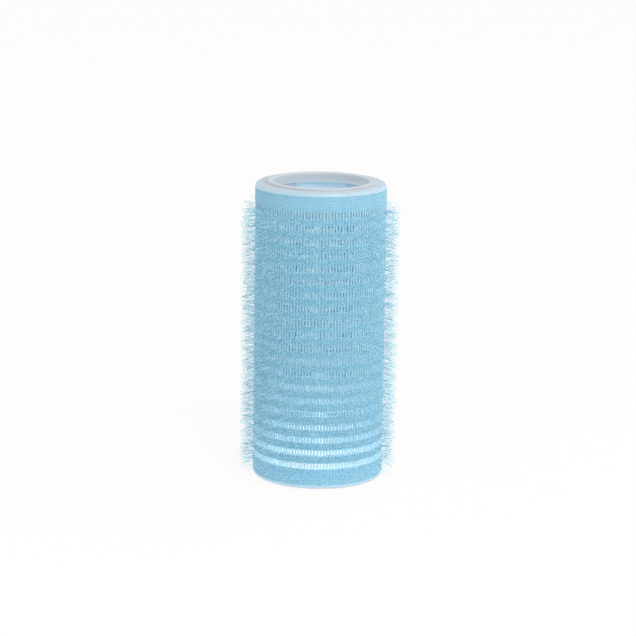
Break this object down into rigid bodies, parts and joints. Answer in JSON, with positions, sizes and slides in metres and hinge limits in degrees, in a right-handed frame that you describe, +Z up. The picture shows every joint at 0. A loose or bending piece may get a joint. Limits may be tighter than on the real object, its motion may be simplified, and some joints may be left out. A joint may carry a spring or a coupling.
{
  "type": "hair roller",
  "caption": "Self-grip hair roller: windowed plastic tube wrapped in woven hook tape, with a translucent collar pressed into each end.",
  "frame": {"origin": "centre of the lower collar's lip, on the surface that the roller stands on", "axes": "+Z up the roller's axis, -Y the front, +X to the right seen from the front"},
  "size_m": [0.0332, 0.0332, 0.0638],
  "materials": {
    "cage_plastic": "milky translucent moulded plastic, satin",
    "collar_plastic": "milky translucent plastic, satin",
    "warp_band": "light-blue woven nylon, dense warp ribs",
    "weft_yarn": "pale-blue nylon yarn",
    "hook_filament": "clear pale-blue monofilament",
    "seam_weld": "melted nylon, satin, with a pressed pattern"
  },
  "bodies": {
    "root": {"core_cage": "cage_plastic", "top_collar": "collar_plastic", "bottom_collar": "collar_plastic", "weft_yarns": "weft_yarn", "tape_seam": "seam_weld", "woven_band_01": "warp_band", "woven_band_02": "warp_band", "woven_band_03": "warp_band", "woven_band_04": "warp_band", "woven_band_05": "warp_band", "woven_band_06": "warp_band", "woven_band_07": "warp_band", "woven_band_08": "warp_band", "woven_band_09": "warp_band", "woven_band_10": "warp_band", "woven_band_11": "warp_band", "woven_band_12": "warp_band", "woven_band_13": "warp_band", "woven_band_14": "warp_band", "woven_band_15": "warp_band", "woven_band_16": "warp_band", "woven_band_17": "warp_band", "woven_band_18": "warp_band", "woven_band_19": "warp_band", "woven_band_20": "warp_band", "woven_band_21": "warp_band", "hook_row_01": "hook_filament", "hook_row_02": "hook_filament", "hook_row_03": "hook_filament", "hook_row_04": "hook_filament", "hook_row_05": "hook_filament", "hook_row_06": "hook_filament", "hook_row_07": "hook_filament", "hook_row_08": "hook_filament", "hook_row_09": "hook_filament", "hook_row_10": "hook_filament", "hook_row_11": "hook_filament", "hook_row_12": "hook_filament", "hook_row_13": "hook_filament", "hook_row_14": "hook_filament", "hook_row_15": "hook_filament", "hook_row_16": "hook_filament", "hook_row_17": "hook_filament", "hook_row_18": "hook_filament", "hook_row_19": "hook_filament", "hook_row_20": "hook_filament"}
  },
  "joints": []
}
